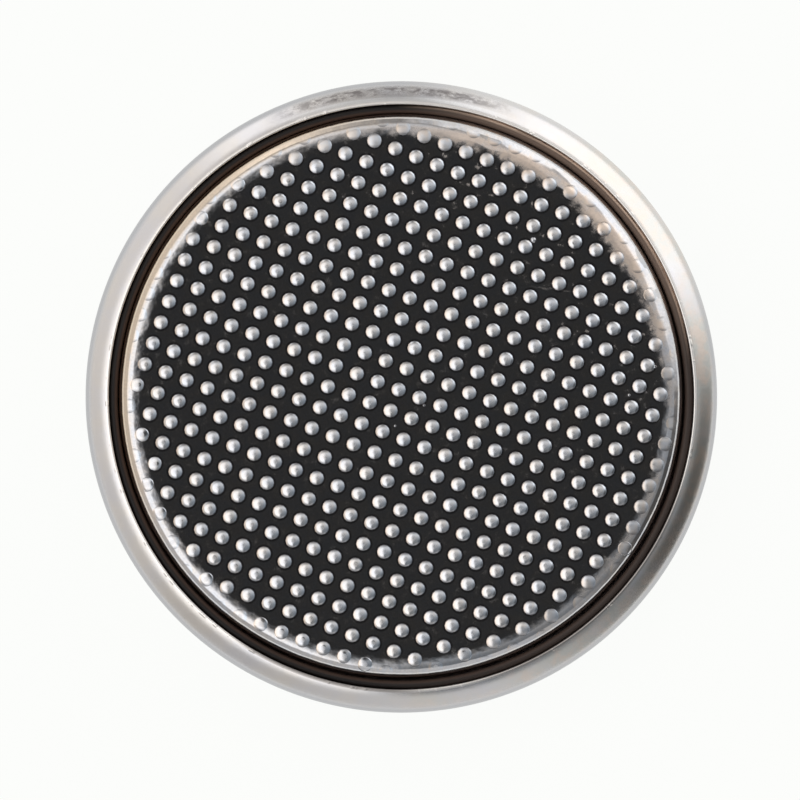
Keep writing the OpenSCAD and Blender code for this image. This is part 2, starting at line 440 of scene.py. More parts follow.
# %% [markdown]
# No two coined dots are quite alike. Each one leans a little outwards, the more the further it is
# from the middle, and has a height and a lean of its own. The numbers for a dot are drawn from its
# row and column, so they are the same every time. The outermost ones stand where the shoulder was
# pressed, and it has nearly flattened them. The press has reached further in on some sides.

# %% Dots: small differences, and the slope of the shoulder
lean_out = 0.0142
own_growth, own_lean = 0.06, 0.035
press_r, press_extra, press_fade = 8.15, 0.28, 0.35
press_angle, press_spread, press_depth = math.radians(88), 1.4, 0.7


def dot_shape(i, j):
    """A dot's own growth in height, and its own lean along X and Y."""
    draw = random.Random(1000 * i + j)
    return [draw.uniform(-most, most) for most in (own_growth, own_lean, own_lean)]


shapes = {}
mesh = bmesh.from_edit_mesh(dots.data)
for point in mesh.verts:
    x, y, z = (value / MM for value in point.co)
    i, j, dot_cx, dot_cy = nearest_dot(x, y)
    growth, lean_x, lean_y = shapes.setdefault((i, j), dot_shape(i, j))
    from_worst = math.atan2(dot_cy, dot_cx) - press_angle
    press_start = press_r - press_extra * max(math.cos(press_spread * from_worst), 0) ** 4
    pressed = min(max((math.hypot(dot_cx, dot_cy) - press_start) / press_fade, 0), 1)
    height = (z - face_z) * (1 + growth) * (1 - press_depth * pressed**2 * (3 - 2 * pressed))
    tilt = (lean_x - lean_out * dot_cx) * (x - dot_cx)
    tilt += (lean_y - lean_out * dot_cy) * (y - dot_cy)
    height += tilt
    point.co.z = (face_height(min(math.hypot(x, y), cap_r - gap)) + height) * MM
top = max(point.co.z for point in mesh.verts)
for point in mesh.verts:
    point.co.z = min(point.co.z, dot_top * MM)
bmesh.update_edit_mesh(dots.data)
bpy.ops.object.mode_set(mode="OBJECT")
print("dots kept:", len(shapes), "the highest was", round(top / MM, 3))

# %% [markdown]
# A few specks of plating stand on the face as well, like tiny low domes that nobody meant to make.
# They use the same helper as the dots, and each has a place, a radius and a height.

# %% Specks: small burrs on the face
speck_sides, speck_foot = 10, 0.1
specks = [
    (4.17, 4.96, 0.09, 0.045), (8.02, 0.96, 0.05, 0.006), (7.2, 0.06, 0.04, 0.004),
    (0.72, -0.26, 0.04, 0.003), (-0.196, -0.914, 0.035, 0.003),
]
burrs = []
for k, (x, y, r, h) in enumerate(specks):
    burrs.append(draw_dome(f"speck_{k}", r, h, speck_foot * h, speck_sides))
    move_points((x * MM, y * MM, 0))

# %% [markdown]
# The press never sets a cap quite in the middle of its can. This one sits a few hundredths of a
# millimetre off, so the dark gasket shows a little wider on one side. The dots and the specks
# already stand where they belong, so only the cap is moved before they are joined to it.

# %% Cap: off the middle, then join the dots and specks to it
cap_off = (-0.016 * MM, 0.036 * MM, 0)
bpy.ops.object.select_all(action="DESELECT")
cap.select_set(True)
bpy.context.view_layer.objects.active = cap
move_points(cap_off)
bpy.ops.object.select_all(action="DESELECT")
for part in (dots, *burrs, cap):
    part.select_set(True)
bpy.context.view_layer.objects.active = cap
bpy.ops.object.join()
print("cap with dots and specks:", len(cap.data.polygons), "faces")

# %% [markdown]
# ## Finishes
# Every finish is a small tree of nodes. Steel is a Principled shader with Metallic at 1, and what
# makes it look real is how its roughness, its tint and its surface change from place to place.
# All the patterns are laid out in millimetres on Object coordinates, so they stay on the metal.
#
# A small kit comes first. Its first part makes a material and its nodes, and wires them.

# %% Nodes: making and wiring
def new_finish(name):
    """A material, its node tree and its Principled shader."""
    finish = bpy.data.materials.new(name)
    finish.use_nodes = True
    return finish, finish.node_tree, finish.node_tree.nodes["Principled BSDF"]


def add_node(tree, kind, **settings):
    """A new node with its settings."""
    node = tree.nodes.new(kind)
    for key, value in settings.items():
        setattr(node, key, value)
    return node


def feed(tree, socket, value):
    """Wires another node's output into a socket, or sets the socket to a plain value."""
    if isinstance(value, bpy.types.NodeSocket):
        tree.links.new(value, socket)
    elif isinstance(value, tuple) and len(value) == 3 and socket.type == "RGBA":
        socket.default_value = (*value, 1)
    else:
        socket.default_value = value


def coat(tree, shader, colour, roughness, surface, metallic=0.0):
    """Feeds a finish's colour, roughness and surface to its shader."""
    shader.inputs["Metallic"].default_value = metallic
    for name, value in (("Base Color", colour), ("Roughness", roughness), ("Normal", surface)):
        feed(tree, shader.inputs[name], value)


def tell(tree, name):
    """Prints how many nodes a finish has by now."""
    print(name, "has", len(tree.nodes), "nodes")


# %% [markdown]
# A mask is a number between 0 and 1 that says where something is, and masks are multiplied to
# find where two things are at once. Most come from soft_step on a distance, whose two limits are
# in millimetres.

# %% Nodes: sums, steps and blends
def calc(tree, operation, *values):
    """A Math node's result."""
    node = add_node(tree, "ShaderNodeMath", operation=operation)
    for socket, value in zip(node.inputs, values):
        feed(tree, socket, value)
    return node.outputs[0]


def vector_calc(tree, operation, *values, result=0):
    """A Vector Math node's result."""
    node = add_node(tree, "ShaderNodeVectorMath", operation=operation)
    for socket, value in zip(node.inputs, values):
        feed(tree, socket, value)
    return node.outputs[result]


def soft_step(tree, value, start, stop):
    """0 at start, 1 at stop, and a soft S between them."""
    node = add_node(tree, "ShaderNodeMapRange", interpolation_type="SMOOTHSTEP")
    feed(tree, node.inputs["Value"], value)
    node.inputs["From Min"].default_value = start
    node.inputs["From Max"].default_value = stop
    return node.outputs[0]


def between(tree, value, low, high):
    """Stretches a value from 0..1 to low..high."""
    node = add_node(tree, "ShaderNodeMapRange")
    feed(tree, node.inputs["Value"], value)
    node.inputs["To Min"].default_value = low
    node.inputs["To Max"].default_value = high
    return node.outputs[0]


def blend_colour(tree, share, first, second):
    """Goes from the first colour to the second with the share."""
    node = add_node(tree, "ShaderNodeMix", data_type="RGBA")
    feed(tree, node.inputs[0], share)
    feed(tree, node.inputs[6], first)
    feed(tree, node.inputs[7], second)
    return node.outputs[2]


def blend_value(tree, share, first, second):
    """Goes from the first number to the second with the share."""
    node = add_node(tree, "ShaderNodeMix")
    feed(tree, node.inputs[0], share)
    feed(tree, node.inputs[2], first)
    feed(tree, node.inputs[3], second)
    return node.outputs[0]


def times(tree, *values):
    """All the values multiplied together."""
    product = values[0]
    for value in values[1:]:
        product = calc(tree, "MULTIPLY", product, value)
    return product


# %% [markdown]
# The third part knows places: the point in millimetres, its distance from the axis and the side it
# lies on. It also makes noise and turns a height into bumps.

# %% Nodes: places, noise and bumps
def place_mm(tree, stretch=(1, 1, 1)):
    """The point's own coordinates, in millimetres."""
    coordinates = add_node(tree, "ShaderNodeTexCoord")
    mapping = add_node(tree, "ShaderNodeMapping")
    tree.links.new(coordinates.outputs["Object"], mapping.inputs["Vector"])
    mapping.inputs["Scale"].default_value = [s / MM for s in stretch]
    return mapping.outputs[0]


def grain(tree, place, per_mm, detail=2.0, roughness=0.5):
    """Noise between 0 and 1 with that many waves in a millimetre."""
    node = add_node(tree, "ShaderNodeTexNoise")
    feed(tree, node.inputs["Vector"], place)
    node.inputs["Scale"].default_value = per_mm
    node.inputs["Detail"].default_value = detail
    node.inputs["Roughness"].default_value = roughness
    return node.outputs[0]


def bumps(tree, height, depth_mm, strength=1.0, under=None):
    """A Bump node whose height is in millimetres, over another one if there is one."""
    node = add_node(tree, "ShaderNodeBump")
    node.inputs["Strength"].default_value = strength
    node.inputs["Distance"].default_value = depth_mm * MM
    feed(tree, node.inputs["Height"], height)
    if under:
        feed(tree, node.inputs["Normal"], under)
    return node.outputs[0]


def polar(tree, place):
    """Distance from the axis in millimetres, and the direction away from it."""
    flat = vector_calc(tree, "MULTIPLY", place, (1, 1, 0))
    return vector_calc(tree, "LENGTH", flat, result=1), vector_calc(tree, "NORMALIZE", flat)


def towards(tree, direction, degrees, start, stop):
    """1 on the side at a compass angle; start and stop are cosines of how far it fades."""
    angle = math.radians(degrees)
    facing = vector_calc(
        tree, "DOT_PRODUCT", direction, (math.cos(angle), math.sin(angle), 0), result=1
    )
    return soft_step(tree, facing, start, stop)


# %% [markdown]
# ### The cap's finish
# The flat face is polished, and it mirrors the dark lens above it. The dots are a little frosted
# by the punch, most on top where contacts rub. Their flanks get painted colour fringes, warm on
# one side and blue on the other, and painted shade darkens their two ends. Round each dot's foot
# lies a ring of painted shade.
#
# A Mapping node of the Texture type undoes the pattern's own shift, turn and pitch. In its
# coordinates every dot stands on a whole number, so a fraction tells how far the next dot is.

# %% Cap finish: where the dots are
cap_steel, tree, shader = new_finish("cap_steel")
place = place_mm(tree)
radius, outward = polar(tree, place)

coordinates = add_node(tree, "ShaderNodeTexCoord")
pattern = add_node(tree, "ShaderNodeMapping", vector_type="TEXTURE")
tree.links.new(coordinates.outputs["Object"], pattern.inputs["Vector"])
pattern.inputs["Location"].default_value = (dot_x * MM, dot_y * MM, 0)
pattern.inputs["Rotation"].default_value = (0, 0, dot_turn)
pattern.inputs["Scale"].default_value = [dot_pitch * MM] * 3
half_on = vector_calc(tree, "ADD", pattern.outputs[0], (0.5, 0.5, 0))
in_square = vector_calc(tree, "SUBTRACT", vector_calc(tree, "FRACTION", half_on), (0.5, 0.5, 0))
flat_in_square = vector_calc(tree, "MULTIPLY", in_square, (1, 1, 0))
from_dot = times(tree, vector_calc(tree, "LENGTH", flat_in_square, result=1), dot_pitch)
own_number = add_node(tree, "ShaderNodeTexWhiteNoise")
whole = vector_calc(tree, "MULTIPLY", vector_calc(tree, "FLOOR", half_on), (1, 1, 0))
feed(tree, own_number.inputs["Vector"], whole)
on_pattern = soft_step(tree, radius, 8.72, 8.6)
dot_mask = times(tree, soft_step(tree, from_dot, dot_r + 0.015, dot_r - 0.01), on_pattern)
# Painted shade: a dark ring round each dot's foot, on the flat inside 8.3 mm.
painted_shade_ring = times(
    tree,
    soft_step(tree, from_dot, dot_r + 0.085, dot_r + 0.01),
    soft_step(tree, radius, 8.3, 8.0),
)
tell(tree, "cap_steel")

# %% [markdown]
# Hands and contacts have left a haze near the shoulder, mostly on one side, with smudges between
# the dots there and one hairline. On that side the shoulder has been rubbed down a little. Wear
# follows no pattern, so each mask is broken up by soft noise.

# %% Cap finish: haze near the shoulder and smudges between the dots
bent_angle = 46
clouds = grain(tree, place, 0.9, detail=4, roughness=0.6)
fine_clouds = grain(tree, place, 3.2, detail=3, roughness=0.65)
worn_side = towards(tree, outward, 25, -0.25, 0.8)
bent_side = towards(tree, outward, bent_angle, 0.7, 0.93)
haze_reach = calc(tree, "ADD", times(tree, fine_clouds, 0.6), times(tree, bent_side, 0.2))
near_shoulder = soft_step(tree, calc(tree, "ADD", radius, haze_reach), 8.44, 8.84)
haze = times(
    tree,
    near_shoulder,
    soft_step(tree, radius, 8.66, 8.5),
    calc(tree, "ADD", times(tree, worn_side, 0.85), 0.12),
    soft_step(tree, clouds, 0.32, 0.56),
)
smudges = times(
    tree,
    soft_step(tree, fine_clouds, 0.62, 0.75),
    soft_step(tree, radius, 4.0, 7.5),
    towards(tree, outward, 50, 0.2, 0.95),
)
apart = add_node(tree, "ShaderNodeSeparateXYZ")
feed(tree, apart.inputs[0], place)
off_line = calc(tree, "ADD", times(tree, apart.outputs["X"], -0.07), times(tree, clouds, 0.5))
off_line = calc(tree, "SUBTRACT", apart.outputs["Y"], calc(tree, "ADD", off_line, 3.47))
off_line = calc(tree, "ABSOLUTE", off_line)
hairline = times(
    tree,
    soft_step(tree, off_line, 0.05, 0.01),
    soft_step(tree, apart.outputs["X"], 3.9, 4.3),
    soft_step(tree, apart.outputs["X"], 5.6, 5.2),
)
worn = calc(tree, "MAXIMUM", haze, times(tree, smudges, 0.6))
worn = calc(tree, "MAXIMUM", worn, times(tree, hairline, fine_clouds, 0.6))
tell(tree, "cap_steel")

# %% [markdown]
# A metal's colour tints what it reflects, so these are all pale greys with a slight cast. x_way and
# y_way are the cell's own X and Y as the turned pattern sees them, and they tell a dot's two flanks
# and its two ends apart.

# %% Cap finish: colour
tint = grain(tree, place, 1.6, detail=4, roughness=0.7)
metal = blend_colour(
    tree, soft_step(tree, tint, 0.3, 0.7), (0.68, 0.70, 0.75), (0.76, 0.72, 0.69)
)
# The haze's tan is its own colour; on the bent side it is made paler and brighter as a painted
# highlight.
haze_and_highlight_colour = blend_colour(tree, bent_side, (0.69, 0.61, 0.55), (0.92, 0.75, 0.62))
metal = blend_colour(tree, worn, metal, haze_and_highlight_colour)
# Painted reflection: a warm cream band on the outer shoulder, on the side towards 150 degrees.
painted_warm_reflection = times(tree, soft_step(tree, radius, 8.56, 8.72), towards(tree, outward, 150, 0.3, 0.85))
metal = blend_colour(tree, times(tree, painted_warm_reflection, 0.9), metal, (0.80, 0.65, 0.49))
x_way = (math.cos(dot_turn), -math.sin(dot_turn), 0)
beside = times(tree, vector_calc(tree, "DOT_PRODUCT", in_square, x_way, result=1), dot_pitch)
# Painted colour fringes: each dot's flank towards -X is tinted warm, and towards +X blue.
painted_warm_fringe = times(tree, dot_mask, soft_step(tree, beside, -0.10, -0.21))
painted_cool_fringe = times(tree, dot_mask, soft_step(tree, beside, 0.06, 0.20))
metal = blend_colour(tree, times(tree, painted_warm_fringe, 0.8), metal, (0.76, 0.64, 0.54))
metal = blend_colour(tree, times(tree, painted_cool_fringe, 0.8), metal, (0.60, 0.66, 0.74))
y_way = (math.sin(dot_turn), math.cos(dot_turn), 0)
above = times(tree, vector_calc(tree, "DOT_PRODUCT", in_square, y_way, result=1), dot_pitch)
from_waist = calc(tree, "ABSOLUTE", calc(tree, "SUBTRACT", above, 0.012))
# Painted shade: the two ends of each dot, along the cell's Y, are darkened.
painted_end_shade = times(tree, dot_mask, soft_step(tree, from_waist, 0.11, 0.24))
metal = blend_colour(tree, times(tree, painted_end_shade, 0.8), metal, (0.15, 0.15, 0.16))
off_dots = calc(tree, "SUBTRACT", 1.0, dot_mask)
# Painted shade darkens the ring round each dot's foot.
metal = blend_colour(tree, times(tree, painted_shade_ring, off_dots, 0.8), metal, (0.12, 0.11, 0.12))
pepper = grain(tree, place, 14, detail=2)
metal = blend_colour(
    tree, times(tree, off_dots, between(tree, pepper, 0.0, 0.45)), metal, (0.30, 0.29, 0.30)
)
tell(tree, "cap_steel")

# %% [markdown]
# Roughness decides how sharply the room shows. The flat is polished, the dots are frosted, and the
# worn places and the pressed outermost dots are dull. Bump nodes add what is too fine to model:
# the skin of the plating, the ripples near the shoulder, and the rubbed side's gentler bend.

# %% Cap finish: roughness and surface
polished = blend_value(tree, soft_step(tree, fine_clouds, 0.52, 0.8), 0.06, 0.16)
frosted = between(tree, own_number.outputs["Value"], 0.11, 0.17)
frosted = blend_value(tree, soft_step(tree, from_dot, 0.11, 0.05), frosted, 0.32)
pressed_back = times(
    tree, soft_step(tree, radius, 7.75, 7.95), towards(tree, outward, 82, 0.7, 0.85)
)
frosted = blend_value(tree, pressed_back, frosted, 0.34)
pressed_front = times(
    tree, soft_step(tree, radius, 7.95, 8.1), towards(tree, outward, -30, 0.6, 0.8)
)
frosted = blend_value(tree, pressed_front, frosted, 0.3)
rough = blend_value(tree, dot_mask, polished, frosted)
rough = blend_value(tree, worn, rough, 0.36)
orange_peel = bumps(tree, grain(tree, place, 9, detail=3), 0.0012, strength=0.6)
ripple_band = times(
    tree, soft_step(tree, radius, 8.0, 8.3), grain(tree, place, 2.2, detail=2, roughness=0.4)
)
rippled = bumps(tree, ripple_band, 0.012, under=orange_peel)
dents = grain(tree, place, 1.3, detail=0)
uneven = calc(tree, "ADD", radius, times(tree, calc(tree, "SUBTRACT", dents, 0.5), 0.3))
rubbed_down = times(tree, -1.0, bent_side, soft_step(tree, uneven, 8.35, 8.74))
surface = bumps(tree, rubbed_down, 0.07, under=rippled)
coat(tree, shader, metal, rough, surface, metallic=1.0)
tell(tree, "cap_steel")

# %% [markdown]
# ### The can's finish
# The curl has been rolled, so it is duller than the cap, with a mottled tint in places where
# fingers and heat have touched the nickel. At the back it is scuffed, and the lip has small nicks.
# The wall is drawn steel, with fine upright lines from the die, and the base is brushed.
#
# One material covers the whole can, so masks come first that tell its parts from each other by
# their distance from the axis and their height.

# %% Can finish: masks
can_steel, tree, shader = new_finish("can_steel")
place = place_mm(tree)
radius, outward = polar(tree, place)
height = add_node(tree, "ShaderNodeSeparateXYZ")
feed(tree, height.inputs[0], place)
height = height.outputs["Z"]
wall = times(tree, soft_step(tree, radius, 9.91, 9.98), soft_step(tree, height, 0.15, 0.4))
# Painted shade: the outermost part of the curl, least on the side towards 50 degrees.
painted_shade_edge = times(
    tree,
    soft_step(tree, radius, 9.76, 9.93),
    soft_step(tree, height, 0.15, 0.4),
    between(tree, towards(tree, outward, 50, 0.75, 0.97), 1.0, 0.1),
)
base = soft_step(tree, height, 0.3, 0.05)
# Painted shade in the floor and walls of the stamped plus.
painted_stamp_shade = times(tree, soft_step(tree, height, 0.012, 0.03), base)
lip = times(tree, soft_step(tree, radius, 9.37, 9.33), soft_step(tree, height, 2.4, 2.6))
stain_side = towards(tree, outward, -15, -0.1, 0.9)
on_top = soft_step(tree, height, 2.0, 2.3)
scuff_side = times(tree, towards(tree, outward, 92, 0.9, 0.99), on_top)
tell(tree, "can_steel")

# %% [markdown]
# The nickel's own tint comes first, then the stain, the painted shade on the outer edge and the
# scuff. The scuff runs round the can in streaks, because its noise changes slowly with the
# direction from the axis and fast with the radius. Last come a painted highlight beside the lip on
# the scuffed side, the lip's painted highlight with painted shade on two sides, and painted shade
# in the stamp.

# %% Can finish: colour
tint = grain(tree, place, 0.5, detail=4, roughness=0.6)
mottle = grain(tree, place, 2.4, detail=3, roughness=0.6)
metal = blend_colour(
    tree, soft_step(tree, tint, 0.3, 0.7), (0.71, 0.70, 0.72), (0.76, 0.72, 0.68)
)
stain = blend_colour(
    tree, soft_step(tree, mottle, 0.35, 0.65), (0.66, 0.66, 0.63), (0.76, 0.67, 0.60)
)
metal = blend_colour(tree, times(tree, stain_side, soft_step(tree, tint, 0.25, 0.6)), metal, stain)
# Painted shade darkens the curl's outermost part to grey.
metal = blend_colour(tree, times(tree, painted_shade_edge, 0.9), metal, (0.46, 0.46, 0.48))
streak_rows = add_node(tree, "ShaderNodeCombineXYZ")
feed(tree, streak_rows.inputs["Z"], times(tree, radius, 7))
streak_place = vector_calc(tree, "MULTIPLY", outward, (24, 24, 0))
streak_place = vector_calc(tree, "ADD", streak_place, streak_rows.outputs[0])
streaks = grain(tree, streak_place, 1.0, detail=5, roughness=0.75)
scuffed = times(
    tree,
    scuff_side,
    soft_step(tree, streaks, 0.36, 0.62),
    soft_step(tree, radius, 9.5, 9.62),
    soft_step(tree, radius, 9.88, 9.75),
)
metal = blend_colour(tree, times(tree, scuffed, 0.9), metal, (0.21, 0.19, 0.19))
# Painted highlight: a near-white strip next to the lip on the scuffed side.
painted_strip_highlight = times(tree, scuff_side, soft_step(tree, radius, 9.52, 9.46))
metal = blend_colour(tree, painted_strip_highlight, metal, (0.94, 0.93, 0.93))
# Painted highlight: the lip is near-white cream; painted shade darkens it towards 315 and 255
# degrees.
lip_painted_shade_sides = calc(
    tree,
    "MAXIMUM",
    towards(tree, outward, 315, 0.82, 0.97),
    towards(tree, outward, 255, 0.93, 0.98),
)
lip_painted_light = blend_colour(tree, lip_painted_shade_sides, (0.90, 0.86, 0.82), (0.42, 0.39, 0.37))
metal = blend_colour(tree, lip, metal, lip_painted_light)
# Painted shade darkens the stamp.
metal = blend_colour(tree, times(tree, painted_stamp_shade, 0.6), metal, (0.3, 0.29, 0.28))
tell(tree, "can_steel")

# %% [markdown]
# The die's lines and the brush marks are noise stretched a long way in one direction. The crimp is
# also a little flatter on the side where the cap's shoulder is rubbed, and a broad bump tilts it.

# %% Can finish: roughness and surface
rough = between(tree, mottle, 0.14, 0.26)
rough = blend_value(tree, wall, rough, 0.34)
rough = blend_value(tree, base, rough, between(tree, mottle, 0.24, 0.4))
rough = blend_value(tree, scuffed, rough, 0.42)
rough = blend_value(tree, lip, rough, 0.30)
around = vector_calc(tree, "MULTIPLY", outward, (90, 90, 0))
upright = vector_calc(tree, "MULTIPLY", place, (0, 0, 0.25))
die_line_place = vector_calc(tree, "ADD", around, upright)
die_lines = times(tree, grain(tree, die_line_place, 1.0, detail=3, roughness=0.7), wall)
brush_place = place_mm(tree, (0.35, 11, 1))
brush = times(tree, grain(tree, brush_place, 1.0, detail=3, roughness=0.7), base)
nick_place = vector_calc(tree, "MULTIPLY", outward, (26, 26, 0))
nicks = times(tree, soft_step(tree, grain(tree, nick_place, 1.0, detail=3), 0.56, 0.7), lip)
skin = bumps(tree, grain(tree, place, 5, detail=4, roughness=0.6), 0.0025, strength=0.8)
skin = bumps(tree, calc(tree, "ADD", die_lines, brush), 0.004, under=skin)
skin = bumps(tree, scuffed, 0.004, under=skin)
flattened = times(
    tree,
    -1.0,
    towards(tree, outward, bent_angle, 0.7, 0.93),
    soft_step(tree, radius, 9.32, 9.6),
    soft_step(tree, height, 0.15, 0.4),
)
skin = bumps(tree, flattened, 0.025, under=skin)
surface = bumps(tree, nicks, 0.012, under=skin)
coat(tree, shader, metal, rough, surface, metallic=1.0)
tell(tree, "can_steel")

# %% [markdown]
# ### The gasket's finish
# The gasket is moulded nylon, nearly black, with a brown cast in the light. Its grain runs round
# the ring, as the rolling tool rubbed it. On one side it is a paler brown, and there a tan streak
# along the ridge is a painted highlight.

# %% Gasket finish
nylon, tree, shader = new_finish("gasket_nylon")
place = place_mm(tree)
radius, outward = polar(tree, place)
ring_place = vector_calc(tree, "MULTIPLY", outward, (4, 4, 0))
rings = add_node(tree, "ShaderNodeCombineXYZ")
feed(tree, rings.inputs["Z"], times(tree, radius, 28))
ring_place = vector_calc(tree, "ADD", ring_place, rings.outputs[0])
rub = grain(tree, ring_place, 1.0, detail=3, roughness=0.6)
plastic = blend_colour(tree, rub, (0.006, 0.006, 0.007), (0.020, 0.015, 0.013))
near_cap = soft_step(tree, radius, 9.12, 9.02)
plastic = blend_colour(tree, times(tree, near_cap, 0.7), plastic, (0.085, 0.050, 0.036))
dull_side = towards(tree, outward, -20, 0.1, 0.9)
plastic = blend_colour(tree, times(tree, dull_side, 0.6), plastic, (0.075, 0.055, 0.046))
# The gasket is a paler brown on the side towards 48 degrees.
pale_side = towards(tree, outward, 48, 0.72, 0.97)
pale_brown = blend_colour(tree, rub, (0.13, 0.09, 0.07), (0.24, 0.165, 0.125))
plastic = blend_colour(tree, times(tree, pale_side, 0.9), plastic, pale_brown)
# Painted highlight: a pale tan streak along the outer half of the ridge, on the paler side.
painted_ridge_highlight = times(
    tree,
    soft_step(tree, radius, 9.12, 9.18),
    pale_side,
    soft_step(tree, rub, 0.25, 0.6),
)
plastic = blend_colour(tree, painted_ridge_highlight, plastic, (0.80, 0.60, 0.47))
shader.inputs["Specular IOR Level"].default_value = 0.22
mould = bumps(tree, grain(tree, place, 12, detail=3), 0.003, strength=0.7)
surface = bumps(tree, rub, 0.004, under=mould)
coat(tree, shader, plastic, between(tree, rub, 0.34, 0.55), surface)
tell(tree, "gasket_nylon")

# %% [markdown]
# ### The pieces inside
# The lithium disc, the separator, the pellet and its steel ring are sealed away, but someone who
# takes the model apart will see them. They keep their CAD shapes and get a finish each: soft grey
# metal, white felt, pressed black powder and turned steel. The lithium has been rolled to a foil,
# so its faint lines run one way.

# %% Finish: lithium
lithium, tree, shader = new_finish("lithium_foil")
place = place_mm(tree)
cloud = grain(tree, place, 0.8, detail=4, roughness=0.6)
foil = blend_colour(
    tree, soft_step(tree, cloud, 0.35, 0.65), (0.56, 0.57, 0.60), (0.70, 0.70, 0.70)
)
rolled = bumps(tree, grain(tree, place_mm(tree, (0.4, 9, 1)), 1.0, detail=3), 0.01)
coat(tree, shader, foil, between(tree, cloud, 0.32, 0.55), rolled, metallic=1.0)
tell(tree, "lithium_foil")

# %% [markdown]
# The separator is a fleece of plastic fibres. Two noises, each stretched along its own direction,
# cross each other, and the higher of the two shows, as the upper fibre does.

# %% Finish: separator
fleece, tree, shader = new_finish("separator_fleece")
one_way = grain(tree, place_mm(tree, (1.5, 22, 8)), 1.0, detail=2)
other_way = grain(tree, place_mm(tree, (22, 1.5, 8)), 1.0, detail=2)
fibres = calc(tree, "MAXIMUM", one_way, other_way)
felt = blend_colour(
    tree, soft_step(tree, fibres, 0.4, 0.7), (0.62, 0.61, 0.57), (0.86, 0.85, 0.82)
)
coat(tree, shader, felt, between(tree, fibres, 0.95, 0.75), bumps(tree, fibres, 0.02))
tell(tree, "separator_fleece")

# %% [markdown]
# The pellet is black powder pressed hard. It is matt where the powder is loose and has a slight
# shine where the die has packed it, so one noise drives its colour, its roughness and its bumps.

# %% Finish: cathode pellet
mix, tree, shader = new_finish("cathode_mix")
place = place_mm(tree)
powder = grain(tree, place, 9, detail=5, roughness=0.7)
black = blend_colour(tree, powder, (0.012, 0.012, 0.013), (0.06, 0.06, 0.065))
coat(tree, shader, black, between(tree, powder, 0.9, 0.55), bumps(tree, powder, 0.03))
tell(tree, "cathode_mix")

# %% [markdown]
# The steel ring round the pellet's foot is turned, so its lines run round it. They depend only on
# the distance from the axis and on the height.

# %% Finish: cathode ring
ring_steel, tree, shader = new_finish("ring_steel")
place = place_mm(tree)
radius, outward = polar(tree, place)
turned_place = add_node(tree, "ShaderNodeCombineXYZ")
feed(tree, turned_place.inputs["X"], times(tree, radius, 20))
apart = add_node(tree, "ShaderNodeSeparateXYZ")
feed(tree, apart.inputs[0], place)
feed(tree, turned_place.inputs["Y"], times(tree, apart.outputs["Z"], 20))
turned = grain(tree, turned_place.outputs[0], 1.0, detail=3)
steel = blend_colour(tree, turned, (0.52, 0.52, 0.53), (0.66, 0.65, 0.63))
surface = bumps(tree, turned, 0.004)
coat(tree, shader, steel, between(tree, turned, 0.2, 0.38), surface, metallic=1.0)
tell(tree, "ring_steel")


# %% [markdown]
# ## Finishes and bodies
# Each piece gets its finish in every slot it has. The new pieces then say which body they ride on
# and which CAD node they stand in for. Nothing moves on a coin cell, so there is one body.

# %% Dress the pieces
def dress(piece, finish):
    """Gives a piece one finish, in each of its slots if it has any."""
    if not piece.material_slots:
        piece.data.materials.append(finish)
    for slot in piece.material_slots:
        slot.material = finish


dress(can, can_steel)
dress(cap, cap_steel)
dress(gasket, nylon)
for node, finish in (
    ("lithium_anode", lithium),
    ("separator", fleece),
    ("cathode_pellet", mix),
    ("cathode_ring", ring_steel),
):
    dress(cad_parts[node], finish)
print("finishes:", sorted(finish.name for finish in bpy.data.materials))

# %% Pieces on their body
for piece, node, slot in (
    (can, "positive_can", "can_steel"),
    (cap, "negative_cap", "cap_steel"),
    (gasket, "gasket", "gasket_plastic"),
):
    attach(piece, "root")
    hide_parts(node)
    print(piece.name, "stands in for", node)

# %% [markdown]
# ## The studio
# The cell lies on white paper. The paper is pale wherever the camera or a mirror looks at it, and
# the Light Path node keeps that apart from how the paper takes the light, so the shadow stays.

# %% Studio: floor
bpy.ops.object.select_all(action="DESELECT")
bpy.ops.mesh.primitive_circle_add(vertices=64, radius=1.0, fill_type="NGON", location=(0, 0, 0))
floor = bpy.context.object
floor.name = "floor"
paper, tree, shader = new_finish("floor_paper")
shader.inputs["Base Color"].default_value = (0.9, 0.9, 0.9, 1)
shader.inputs["Roughness"].default_value = 0.9
glow = add_node(tree, "ShaderNodeEmission")
glow.inputs["Color"].default_value = (0.988, 0.997, 0.979, 1)
path = add_node(tree, "ShaderNodeLightPath")
seen = calc(tree, "MAXIMUM", path.outputs["Is Camera Ray"], path.outputs["Is Glossy Ray"])
seen = calc(tree, "MAXIMUM", seen, path.outputs["Is Transmission Ray"])
blended = add_node(tree, "ShaderNodeMixShader")
tree.links.new(times(tree, seen, 0.95), blended.inputs["Fac"])
tree.links.new(shader.outputs[0], blended.inputs[1])
tree.links.new(glow.outputs[0], blended.inputs[2])
tree.links.new(blended.outputs[0], tree.nodes["Material Output"].inputs["Surface"])
dress(floor, paper)
tell(tree, "floor_paper")

# %% [markdown]
# Metal shows the room more than itself, so the room matters most. It is a World whose colour
# depends only on the direction. A wide soft light fills the left, up to nearly overhead. The
# right is grey and darkest towards the front. The lens is a small dark spot straight above, with
# a soft rim, and a band of wall runs round the horizon. Three angles say where a mirror looks:
# side is how far right of overhead, depth how far to the back, and compass which wall.

# %% Studio: directions in the room
world = bpy.data.worlds.new("studio")
bpy.context.scene.world = world
world.use_nodes = True
room = world.node_tree
sky = room.nodes["Background"]
where = add_node(room, "ShaderNodeTexCoord")
split = add_node(room, "ShaderNodeSeparateXYZ")
room.links.new(where.outputs["Generated"], split.inputs[0])
side = calc(room, "ARCTAN2", split.outputs["X"], split.outputs["Z"])
depth = calc(room, "ARCTAN2", split.outputs["Y"], split.outputs["Z"])
compass = calc(room, "ARCTAN2", split.outputs["Y"], split.outputs["X"])


